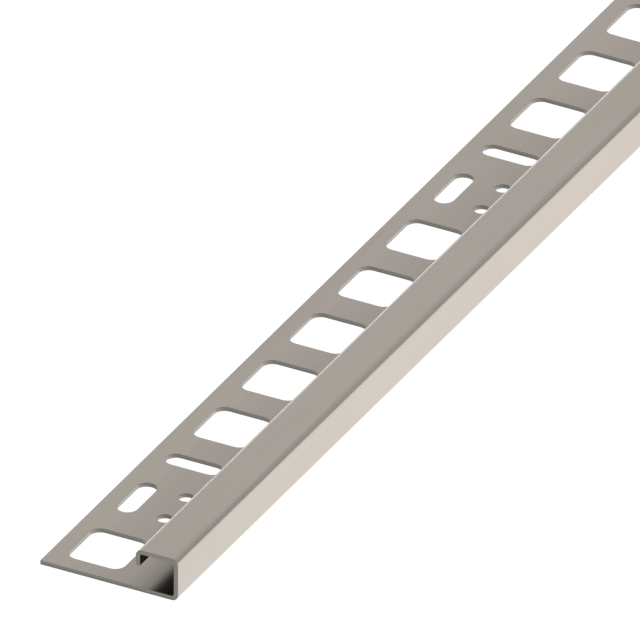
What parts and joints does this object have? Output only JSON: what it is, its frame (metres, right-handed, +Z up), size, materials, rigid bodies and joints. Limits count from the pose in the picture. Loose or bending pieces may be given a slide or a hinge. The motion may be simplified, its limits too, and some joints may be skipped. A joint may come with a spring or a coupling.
{
  "type": "tile edge trim",
  "caption": "Square-edge metal tile trim: a flat perforated anchoring leg folded up into a narrow box edge with a short lip, bedded under tiles to finish and guard their edge.",
  "frame": {"origin": "on the floor, under the middle of the trim's width and length", "axes": "+Y along the stock, +Z up from the leg to the finished top, +X from the leg's free edge to the finished face"},
  "size_m": [0.0322, 1, 0.01],
  "materials": {
    "steel": "satin stainless steel with a fine grain along the length"
  },
  "bodies": {
    "root": {"trim_profile": "steel"}
  },
  "joints": []
}
